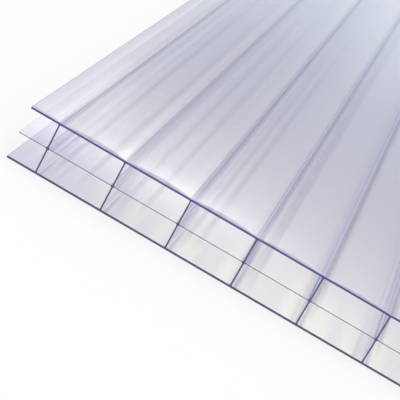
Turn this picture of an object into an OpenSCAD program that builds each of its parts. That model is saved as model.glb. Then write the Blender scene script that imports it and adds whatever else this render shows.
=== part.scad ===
// Multiwall polycarbonate sheet, 16 mm triple wall.
// One extruded piece: two outer skins and a thin middle skin, tied by upright webs.
// X runs across the webs, Y along the flutes and Z up. The origin is the centre of the underside.

/* [Sheet] */
// Length along the flutes
sheet_l = 1000; // [300:50:3000]
// Width across the webs, saw-cut at both sides
sheet_w = 700; // [160:10:1250]
// Overall thickness
sheet_t = 16; // [10:0.5:32]

/* [Skins] */
// Thickness of the upper skin
top_skin_t = 0.55; // [0.4:0.05:1.2]
// Thickness of the lower skin
bottom_skin_t = 0.6; // [0.4:0.05:1.2]
// Thickness of the middle skin
mid_skin_t = 0.2; // [0.1:0.05:0.8]

/* [Webs] */
// Distance between the centres of neighbouring webs
web_pitch = 20; // [12:0.5:32]
// Thickness of a web
web_t = 0.45; // [0.3:0.05:1]
// Distance from the left edge to the centre of the first web
first_web = 8.8; // [4:0.1:11.5]
// Radius of the fillets where webs meet the outer skins
fillet_r = 0.25; // [0.15:0.05:1.2]
// Radius of the fillets where webs cross the middle skin
knot_r = 0.5; // [0.15:0.05:1.2]

/* [Hidden] */
$fn = 32;

// A web is drawn only where this much lip is left beyond it
min_lip = web_t / 2 + max(fillet_r, knot_r);
// How far the saw-cut bays run past the edges of the sheet
overrun = 2 * max(fillet_r, knot_r);

web_count = floor((sheet_w - first_web - min_lip) / web_pitch) + 1;
web_centres = [for (i = [0:web_count - 1]) first_web + i * web_pitch];

// Left and right walls of every bay: the two outer bays are open at the sheet's sides
bay_starts = concat([-overrun], [for (x = web_centres) x + web_t / 2]);
bay_ends = concat([for (x = web_centres) x - web_t / 2], [sheet_w + overrun]);

// The lower and the upper flutes share the height that the three skins leave
flute_h = (sheet_t - top_skin_t - bottom_skin_t - mid_skin_t) / 2;
flute_floors = [bottom_skin_t, bottom_skin_t + flute_h + mid_skin_t];
// Radii of the fillets at the floor and at the roof of the lower and the upper flutes
flute_corners = [[fillet_r, knot_r], [knot_r, fillet_r]];

// Hollow section of one flute, with a fillet in each corner
module flute(w, h, floor_r, roof_r) {
    translate([0, floor_r]) square([w, h - floor_r - roof_r]);
    translate([floor_r, 0]) square([w - 2 * floor_r, h / 2]);
    translate([roof_r, h / 2]) square([w - 2 * roof_r, h / 2]);
    for (x = [floor_r, w - floor_r]) translate([x, floor_r]) circle(floor_r);
    for (x = [roof_r, w - roof_r]) translate([x, h - roof_r]) circle(roof_r);
}

// Cross-section of the sheet, with its lower left corner at the origin
module section() {
    difference() {
        square([sheet_w, sheet_t]);
        for (bay = [0:web_count], level = [0, 1])
            translate([bay_starts[bay], flute_floors[level]])
                flute(
                    bay_ends[bay] - bay_starts[bay],
                    flute_h,
                    flute_corners[level][0],
                    flute_corners[level][1]
                );
    }
}

module multiwall_sheet() {
    color([0.83, 0.84, 0.92, 0.45])
        translate([-sheet_w / 2, sheet_l / 2, 0])
            rotate([90, 0, 0])
                linear_extrude(sheet_l) section();
}

multiwall_sheet();
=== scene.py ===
import bpy
from mathutils import Matrix, Vector

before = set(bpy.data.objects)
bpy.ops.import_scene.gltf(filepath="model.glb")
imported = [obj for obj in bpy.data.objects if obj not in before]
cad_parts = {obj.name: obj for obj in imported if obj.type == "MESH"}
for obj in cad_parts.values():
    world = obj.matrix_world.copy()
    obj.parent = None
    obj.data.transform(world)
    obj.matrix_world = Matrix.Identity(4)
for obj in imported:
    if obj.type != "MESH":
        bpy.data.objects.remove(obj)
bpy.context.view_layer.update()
scene = bpy.context.scene
scene.view_settings.view_transform = "Standard"

# Sizes of the sheet in metres, as built
SHEET_W = 0.7
SHEET_L = 1.0
SHEET_T = 0.016
WEB_PITCH = 0.02
FIRST_WEB = 0.0088

# A face this close to the sheet's box is a saw cut, and one this close to its top or underside an outer skin
CUT_DEPTH = 0.00003
SKIN_DEPTH = 0.001

# How far from a cut end its own painted shade streaks and tints run along the flutes
END_REACH = 0.045

# Scale of each noise, and how much it is drawn out along the flutes
LINE_SCALE = 420.0
WAVE_SCALE = 90.0
PATCH_SCALE = 150.0
SAW_SCALE = 900.0
DRAWN_OUT = (1.0, 0.012, 1.0)

# Relief in metres: sink marks over the webs, and the die's fine lines and slow waves, flatter below the top
SINK_REACH = 0.0028
SINK_DEPTH = 0.00003
LINE_DEPTH = 0.000002
WAVE_DEPTH = 0.000024
FLATTER_BELOW = 0.4

# The burr that the saw lifts along the cut edge of the top, narrowest at the webs and widest between them
BURR_REACH = 0.0030
LEAST_BURR_REACH = 0.0001
BURR_HEIGHT = 0.00005

# Painted shade: dark streaks along the flutes, standing in for the dark lines that the webs give by bending,
# reflecting and shading light. Each has its place, half width and strength; those underneath also a pitch
# after their place. Those on top and those near the cut end are placed to the right of each web. Those
# underneath are placed from the left side, at their own pitch.
TOP_SHADE_LINES = [
    (0.0007, 0.0014, 0.26),
    (0.0004, 0.0004, 0.12),
    (0.0011, 0.0004, 0.14),
    (-0.0002, 0.0006, 0.09),
]
FOOT_SHADE_LINE = (0.0012, 0.0010, 0.38)
UNDERSIDE_SHADE_LINES = [
    (0.0118, 0.0200, 0.0015, 0.48),
    (0.0194, 0.0179, 0.0016, 0.50),
]

# Painted light: lighter bands of the top skin, where less of its tint is kept back, placed to the right of
# each web. The second is only near the sheet's sides.
PAINTED_LIGHT_BAND = (0.0180, 0.0022, 0.6)
SIDE_LIGHT_BAND = (0.0045, 0.0045, 0.9)
SIDE_LIGHT_BAND_REACH = 0.080

# What each skin keeps back of the light that crosses it: the plastic's tint on the top and the inner faces,
# then painted shade, darker than the plastic, on the underside along the sheet and in the patches near its
# cut ends, for the shade beneath the sheet, with painted light near its sides, where that shade thins, and
# painted shade on the three lips, darkened to the grey that they show in this light
TOP_TINT = (0.93, 0.925, 0.975, 1)
INNER_TINT = (0.995, 0.995, 1.0, 1)
BOTTOM_SHADE_TINT = (0.80, 0.79, 0.80, 1)
COOL_SHADE_TINT = (0.775, 0.775, 0.785, 1)
WARM_SHADE_TINT = (0.88, 0.88, 0.83, 1)
RIM_LIGHT_TINT = (0.97, 0.96, 0.97, 1)
LIP_SHADE_TINT = (0.765, 0.755, 0.90, 1)
MID_LIP_SHADE_TINT = (0.89, 0.875, 1.0, 1)
LOWER_LIP_SHADE_TINT = (0.69, 0.68, 0.80, 1)
# The dark colour of the painted shade streaks
PAINTED_SHADE_COLOUR = (0.20, 0.20, 0.28, 1)

# Levels of the patch noise where the cool tint starts to give way to the warm one, and where it has
PATCH_LEVELS = (0.42, 0.62)

# How far in from the sides the underside is painted lighter, away from the cut ends: painted light where the
# shade beneath the sheet thins
RIM_LIGHT_REACH = 0.014

# How far in from the sides the lips' painted shade reaches: on top, what is added to that near a cut end, how
# far along it is added, and the share of the shade there. Below, it is as wide as the first bay, and spreads
# further at a cut end.
TOP_LIP_REACH = 0.0040
TOP_LIP_GAIN = 0.0026
TOP_LIP_GAIN_REACH = 0.11
TOP_LIP_SHARE = 0.85
LOWER_LIP_SPREAD = 0.050

# Clear plastic bends light strongly, and has a violet tint in its depth
PLASTIC_IOR = 1.585
DEEP_TINT = (0.40, 0.40, 0.80, 1)
DEEP_DENSITY = 32.0
SKIN_ROUGHNESS = 0.035
TOP_ROUGHNESS_GAIN = 0.01

# Saw-cut faces: their colour below and on the top skin, the lighter saw marks, and the share on the sides.
# The dark violet is partly the plastic's own deep tint seen along the skin and partly painted shade, for the
# light lost inside the clear skins, on an opaque face
CUT_COLOUR = (0.075, 0.066, 0.165, 1)
TOP_CUT_COLOUR = (0.055, 0.045, 0.24, 1)
SAW_COLOUR = (0.16, 0.15, 0.28, 1)
SAW_LEVEL = 0.5
SAW_STRENGTH = 0.5
CUT_ROUGHNESS = 0.4
SIDE_CUT_SHARE = 0.35

# Webs and their fillets let light straight through. The first reach is from a web's middle, at the outer
# skins. The others are added to it half-way up, below the middle skin, and on the underside. The depths are
# those of the underside's face, of the top face, which bends light everywhere, and of the fillets' painted
# shade:
# a darker tint where the webs meet the skins, standing in for the dark knots that the bent light gives there.
STRAIGHT_REACH = 0.00048
KNOT_GAIN = 0.00025
LOWER_KNOT_GAIN = 0.00009
FOOT_GAIN = 0.0003
FOOT_DEPTH = 0.0003
TOP_FACE_DEPTH = 0.0001
FILLET_DEPTH = 0.0009
WEB_TINT = (0.985, 0.985, 0.995, 1)
CORNER_SHADE_TINT = (0.86, 0.86, 0.90, 1)

# The part of the floor's white that is its own, so that the sheet's shadow shows only faintly
FLOOR_GLOW = 0.75

# The light behind the sheet at each height above the horizon, as the sine of the angle
SKY_STOPS = [
    (0.0, (0.72, 0.74, 0.80)),
    (0.15, (0.70, 0.73, 0.80)),
    (0.18, (0.84, 0.89, 0.94)),
    (0.208, (0.65, 0.71, 0.78)),
    (0.242, (0.485, 0.51, 0.565)),
    (0.276, (0.48, 0.495, 0.55)),
    (0.309, (0.53, 0.53, 0.58)),
    (0.334, (0.69, 0.68, 0.70)),
    (0.358, (0.64, 0.63, 0.67)),
    (0.42, (0.64, 0.62, 0.67)),
    (0.64, (0.95, 0.95, 0.95)),
    (1.0, (1.0, 1.0, 1.0)),
]
SKY_STRENGTH = 1.08

# The light all round, and the levels of a direction's y between which it gives way to the light behind
SURROUND = (0.93, 0.93, 0.95, 1)
BEHIND = (0.60, 0.85)

# Windows of light over the far end: middle and half width as x over y, then the heights, as the sine of the
# angle, where the window starts, is full, starts to fade and ends, and its colour
WINDOWS = [
    ((-0.090, 0.130), (0.3320, 0.3425, 0.344, 0.353), (1.30, 1.30, 1.12, 1)),
    ((-0.100, 0.100), (0.285, 0.315, 0.325, 0.340), (0.12, 0.11, 0.10, 1)),
    ((-0.146, 0.026), (0.285, 0.315, 0.338, 0.346), (0.19, 0.18, 0.17, 1)),
    ((0.040, 0.170), (0.338, 0.372, 0.600, 0.800), (0.62, 0.55, 0.40, 1)),
]

# The photograph's view: near the left front corner, looking down and along the flutes, with the camera tilted
PHOTO_WIDTH = 400
FOCAL_PIXELS = 1620.7
SENSOR_WIDTH = 36
CAMERA_PLACE = (-0.27439, -0.89754, 0.16118)
CAMERA_RIGHT = (0.86337, 0.21876, 0.45468)
CAMERA_UP = (-0.50116, 0.26716, 0.82308)

# A ray crosses many thin walls before it leaves the sheet
scene.cycles.max_bounces = 48
scene.cycles.transmission_bounces = 48
scene.cycles.glossy_bounces = 24
scene.cycles.transparent_max_bounces = 48


class Amount:
    """A number that changes over a surface. Arithmetic on it adds Math nodes."""

    def __init__(self, socket):
        self.socket = socket

    def maths(self, operation, *terms):
        node = self.socket.id_data.nodes.new("ShaderNodeMath")
        node.operation = operation
        for slot, term in zip(node.inputs, terms):
            join(slot, term)
        return Amount(node.outputs[0])

    def __add__(self, other):
        return self.maths("ADD", self, other)

    def __radd__(self, other):
        return self.maths("ADD", other, self)

    def __sub__(self, other):
        return self.maths("SUBTRACT", self, other)

    def __rsub__(self, other):
        return self.maths("SUBTRACT", other, self)

    def __mul__(self, other):
        return self.maths("MULTIPLY", self, other)

    def __rmul__(self, other):
        return self.maths("MULTIPLY", other, self)

    def __truediv__(self, other):
        return self.maths("DIVIDE", self, other)

    def __rtruediv__(self, other):
        return self.maths("DIVIDE", other, self)

    def __pow__(self, other):
        return self.maths("POWER", self, other)

    def __rpow__(self, other):
        return self.maths("POWER", other, self)

    def __gt__(self, other):
        return self.maths("GREATER_THAN", self, other)

    def __lt__(self, other):
        return self.maths("LESS_THAN", self, other)

    def __abs__(self):
        return self.maths("ABSOLUTE", self)

    def wrap(self, pitch):
        """How far it is past the last whole pitch."""
        return self.maths("WRAP", self, pitch, 0.0)

    def from_nearest(self, pitch):
        """How far it is from the nearest whole pitch."""
        return self.maths("PINGPONG", self, pitch / 2)

    def larger(self, other):
        return self.maths("MAXIMUM", self, other)


def join(slot, term):
    """Gives a socket a link or a plain value."""
    if isinstance(term, Amount):
        slot.id_data.links.new(term.socket, slot)
    else:
        slot.default_value = term


def fill_ramp(stops, colours):
    """Places a colour ramp's stops. A new ramp already has its first and its last one."""
    for stop, (height, colour) in zip(stops, (colours[0], colours[-1])):
        stop.position = height
        stop.color = (*colour, 1)
    for height, colour in colours[1:-1]:
        stops.new(height).color = (*colour, 1)


class Finish:
    """A material or a world being mixed from nodes."""

    def __init__(self, owner):
        owner.use_nodes = True
        self.owner = owner
        self.tree = owner.node_tree
        self.tree.nodes.clear()

    def add(self, kind, settings=None, sockets=None, out=0):
        node = self.tree.nodes.new(kind)
        for name, value in (settings or {}).items():
            if name == "stops":
                fill_ramp(node.color_ramp.elements, value)
            else:
                setattr(node, name, value)
        for name, term in (sockets or {}).items():
            join(node.inputs[name], term)
        return Amount(node.outputs[out]) if node.outputs else node

    def axes(self, place):
        """The three parts of a place or a direction."""
        return [self.add("ShaderNodeSeparateXYZ", sockets={0: place}, out=axis) for axis in "XYZ"]

    def noise(self, place, scale, detail):
        return self.add("ShaderNodeTexNoise", sockets={"Vector": place, "Scale": scale, "Detail": detail})

    def rise(self, amount, start, end, first=0.0, last=1.0):
        """Goes smoothly from the first value to the last one while the amount goes from start to end."""
        return self.add(
            "ShaderNodeMapRange",
            {"interpolation_type": "SMOOTHSTEP"},
            {"Value": amount, "From Min": start, "From Max": end, "To Min": first, "To Max": last},
        )

    def near(self, distance, reach):
        """1 where the distance is nothing, falling smoothly to 0 at reach."""
        return self.rise(distance, 0.0, reach, 1.0, 0.0)

    def blend(self, share, first, second, how="MIX"):
        """The first colour where share is 0 and the second where it is 1, or the second added to it."""
        settings = {"data_type": "RGBA", "blend_type": how}
        return self.add("ShaderNodeMix", settings, {0: share, 6: first, 7: second}, out=2)

    def layer(self, share, first, second):
        """The first shader where share is 0 and the second where it is 1."""
        return self.add("ShaderNodeMixShader", sockets={0: share, 1: first, 2: second})


class SheetPlaces:
    """Where a point of the sheet is: on which skin, and how far from the webs, the sides and the ends."""

    def __init__(self, finish):
        self.place = finish.add("ShaderNodeTexCoord", out="Object")
        self.drawn_out = finish.add("ShaderNodeMapping", sockets={"Vector": self.place, "Scale": DRAWN_OUT})
        x, y, z = finish.axes(self.place)
        self.height = z
        self.from_left = x + SHEET_W / 2
        self.from_side = SHEET_W / 2 - abs(x)
        self.from_end = SHEET_L / 2 - abs(y)
        self.from_mid = abs(z - SHEET_T / 2)

        self.end_cut = abs(y) > SHEET_L / 2 - CUT_DEPTH
        self.side_cut = abs(x) > SHEET_W / 2 - CUT_DEPTH
        self.on_top = z > SHEET_T - SKIN_DEPTH
        self.underneath = z < SKIN_DEPTH
        self.near_end = finish.near(self.from_end, END_REACH)

        # Distances across the flutes: from the nearest web, from the web on the left, and rightwards from a
        # web, counted from a quarter pitch to its left
        across = x + (SHEET_W / 2 - FIRST_WEB)
        self.from_web = across.from_nearest(WEB_PITCH)
        self.from_left_web = across.wrap(WEB_PITCH)
        self.past_web = (across + WEB_PITCH / 4).wrap(WEB_PITCH) - WEB_PITCH / 4


def skin_relief(finish, at):
    """Sink marks over the webs, the die's lines and waves along the flutes, and the burr at the saw cut."""
    lines = finish.noise(at.drawn_out, LINE_SCALE, 2.0)
    waves = finish.noise(at.drawn_out, WAVE_SCALE, 1.0)
    drawn = (lines * LINE_DEPTH + waves * WAVE_DEPTH) * (at.on_top * (1 - FLATTER_BELOW) + FLATTER_BELOW)
    sink = finish.near(at.from_web, SINK_REACH) * SINK_DEPTH
    bulge = (at.from_web * (2 / WEB_PITCH)) ** 0.5
    burr = finish.near(at.from_end, bulge * BURR_REACH + LEAST_BURR_REACH) * at.on_top * BURR_HEIGHT
    sockets = {"Strength": 1.0, "Distance": 1.0, "Height": drawn - sink + burr}
    return finish.add("ShaderNodeBump", sockets=sockets)


def skin_painted_shade(finish, at):
    """Painted shade streaks: beside the webs on top, dark lines underneath, and by the web feet near the cut
    end, standing in for the dark lines that the webs give by bending, reflecting and shading light.
    """
    shade_lines = 0
    for place, reach, strength in TOP_SHADE_LINES:
        shade_lines = shade_lines + finish.near(abs(at.past_web - place), reach) * at.on_top * strength
    for place, pitch, reach, strength in UNDERSIDE_SHADE_LINES:
        apart = at.from_left - place
        line = finish.near(apart.from_nearest(pitch), reach) * (apart > -reach)
        shade_lines = shade_lines.larger(line * at.underneath * strength * (1 - at.near_end))
    place, reach, strength = FOOT_SHADE_LINE
    foot = finish.near(abs(at.from_left_web - place), reach) * strength
    return shade_lines + foot * (1 - at.on_top) * at.near_end


def skin_tint(finish, at):
    """What a skin keeps back of the light: its own tint, with painted light bands on top and painted shade
    below that is lighter near the sides, or a lip's painted shade beyond the first and the last web.
    """
    # Painted light: bands of the top skin where less of its tint is kept back
    place, reach, strength = PAINTED_LIGHT_BAND
    clear = finish.near(abs(at.from_left_web - place), reach) * strength
    place, reach, strength = SIDE_LIGHT_BAND
    side_light = finish.near(abs(at.from_left_web - place), reach) * strength
    clear = clear.larger(side_light * finish.near(at.from_side, SIDE_LIGHT_BAND_REACH))
    upper = finish.blend(at.on_top * (1 - clear), INNER_TINT, TOP_TINT)

    # Painted shade: the underside darker than the plastic, in random patches near the cut ends, with painted
    # light near the sides
    patches = finish.rise(finish.noise(at.drawn_out, PATCH_SCALE, 0.0), *PATCH_LEVELS)
    lower = finish.blend(at.near_end, BOTTOM_SHADE_TINT, finish.blend(patches, COOL_SHADE_TINT, WARM_SHADE_TINT))
    rim_light = finish.near(at.from_side, RIM_LIGHT_REACH) * (1 - at.near_end)
    lower = finish.blend(rim_light, lower, RIM_LIGHT_TINT)

    # Painted shade: the lips darkened to the grey that they show in this light
    top_reach = finish.near(at.from_end, TOP_LIP_GAIN_REACH) * TOP_LIP_GAIN + TOP_LIP_REACH
    lower_reach = at.near_end * LOWER_LIP_SPREAD + FIRST_WEB
    lip = finish.near(at.from_side, at.on_top * top_reach + (1 - at.on_top) * lower_reach)
    lip = lip * at.near_end.larger(at.on_top * TOP_LIP_SHARE)
    lip_shade = finish.blend(at.on_top, MID_LIP_SHADE_TINT, LIP_SHADE_TINT)
    lip_shade = finish.blend(at.underneath, lip_shade, LOWER_LIP_SHADE_TINT)
    return finish.blend(lip, finish.blend(at.underneath, upper, lower), lip_shade)


def saw_cut(finish, at):
    """A sawn face, made opaque: its dark violet is partly the plastic's own deep tint and partly painted
    shade for the light lost inside the skins, with lighter marks of the blade.
    """
    marks = finish.near(finish.noise(at.place, SAW_SCALE, 2.0), SAW_LEVEL) * SAW_STRENGTH
    colour = finish.blend(at.on_top, CUT_COLOUR, TOP_CUT_COLOUR)
    sockets = {
        "Base Color": finish.blend(marks, colour, SAW_COLOUR),
        "Roughness": CUT_ROUGHNESS,
        "IOR": PLASTIC_IOR,
    }
    return finish.add("ShaderNodeBsdfPrincipled", sockets=sockets)


def straight_through(finish, at):
    """Webs and fillets that don't bend light, with painted shade on the fillets by the skins, and where they
    are.
    """
    knot = (at.from_mid < SHEET_T / 4) * ((at.height < SHEET_T / 2) * LOWER_KNOT_GAIN + KNOT_GAIN)
    foot = (at.height < FOOT_DEPTH) * FOOT_GAIN
    inner = (at.from_web < knot + foot + STRAIGHT_REACH) * (at.height < SHEET_T - TOP_FACE_DEPTH)
    at_skin = at.from_mid.from_nearest(SHEET_T / 2) < FILLET_DEPTH
    web = finish.add("ShaderNodeBsdfTransparent", sockets={"Color": WEB_TINT})
    # Painted shade: a darker tint on the fillets where the webs meet the skins
    corner_shade = finish.add("ShaderNodeBsdfTransparent", sockets={"Color": CORNER_SHADE_TINT})
    return finish.layer(at_skin, web, corner_shade), inner


def clear_sheet_plastic():
    finish = Finish(bpy.data.materials.new("clear_sheet_plastic"))
    at = SheetPlaces(finish)
    # The skin's colour carries the painted shade streaks over its tints, which hold painted light and painted
    # shade
    skin = finish.add(
        "ShaderNodeBsdfPrincipled",
        sockets={
            "Base Color": finish.blend(skin_painted_shade(finish, at), skin_tint(finish, at), PAINTED_SHADE_COLOUR),
            "Roughness": at.on_top * TOP_ROUGHNESS_GAIN + SKIN_ROUGHNESS,
            "IOR": PLASTIC_IOR,
            "Transmission Weight": 1.0,
            "Normal": skin_relief(finish, at),
        },
    )
    walls, inner = straight_through(finish, at)
    is_cut = at.end_cut.larger(at.side_cut * SIDE_CUT_SHARE)
    surface = finish.layer(is_cut, finish.layer(inner, skin, walls), saw_cut(finish, at))
    tint = finish.add("ShaderNodeVolumeAbsorption", sockets={"Color": DEEP_TINT, "Density": DEEP_DENSITY})
    finish.add("ShaderNodeOutputMaterial", sockets={"Surface": surface, "Volume": tint})
    return finish.owner


def studio_floor():
    """White paint, partly with a white of its own where it is seen, also in gloss or through plastic."""
    finish = Finish(bpy.data.materials.new("studio_floor"))
    seen = 0
    for ray in ("Is Camera Ray", "Is Glossy Ray", "Is Transmission Ray"):
        seen = seen + finish.add("ShaderNodeLightPath", out=ray)
    paint = finish.add("ShaderNodeBsdfDiffuse", sockets={"Color": (0.95, 0.95, 0.95, 1)})
    white = finish.add("ShaderNodeEmission", sockets={"Color": (1, 1, 1, 1), "Strength": 1.0})
    settings = {"operation": "MULTIPLY", "use_clamp": True}
    share = finish.add("ShaderNodeMath", settings, {0: seen, 1: FLOOR_GLOW})
    finish.add("ShaderNodeOutputMaterial", sockets={"Surface": finish.layer(share, paint, white)})
    return finish.owner


def studio_sky():
    """Pale light all round, with a grey band above the horizon behind the sheet and soft windows over it."""
    sky = Finish(bpy.data.worlds.new("studio_sky"))
    x, y, z = sky.axes(sky.add("ShaderNodeTexCoord", out="Generated"))
    behind = sky.rise(y, *BEHIND)
    light = sky.blend(behind, SURROUND, sky.add("ShaderNodeValToRGB", {"stops": SKY_STOPS}, {0: z}))
    sideways = x / y
    for (middle, reach), (start, full, fade, end), colour in WINDOWS:
        share = sky.near(abs(sideways - middle), reach) * sky.rise(z, start, full)
        share = share * sky.rise(z, fade, end, 1.0, 0.0) * behind
        light = sky.blend(share, light, colour, how="ADD")
    shade = sky.add("ShaderNodeBackground", sockets={"Color": light, "Strength": SKY_STRENGTH})
    sky.add("ShaderNodeOutputWorld", sockets={"Surface": shade})
    return sky.owner


def softbox(name, place, width, power):
    """A square lamp that faces the middle of the sheet."""
    lamp = bpy.data.lights.new(name, "AREA")
    lamp.size = width
    lamp.energy = power
    holder = bpy.data.objects.new(name, lamp)
    holder.location = place
    holder.rotation_euler = (-Vector(place)).to_track_quat("-Z", "Y").to_euler()
    scene.collection.objects.link(holder)


def photograph_camera():
    camera = bpy.data.objects.new("camera", bpy.data.cameras.new("camera"))
    scene.collection.objects.link(camera)
    camera.data.sensor_width = SENSOR_WIDTH
    camera.data.lens = FOCAL_PIXELS * SENSOR_WIDTH / PHOTO_WIDTH
    camera.data.clip_start = 0.01
    right, up = Vector(CAMERA_RIGHT), Vector(CAMERA_UP)
    turn = Matrix((right, up, right.cross(up))).transposed().to_4x4()
    camera.matrix_world = Matrix.Translation(CAMERA_PLACE) @ turn
    return camera


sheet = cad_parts["multiwall_sheet"]
sheet.data.materials.clear()
sheet.data.materials.append(clear_sheet_plastic())

bpy.ops.object.select_all(action="DESELECT")
bpy.ops.mesh.primitive_plane_add(size=12, location=(0, 0, -0.0002))
floor = bpy.context.object
floor.name = "floor"
floor.data.materials.append(studio_floor())

scene.world = studio_sky()
softbox("overhead", (0.2, 0.2, 2.4), 1.8, 5.5)
scene.camera = photograph_camera()
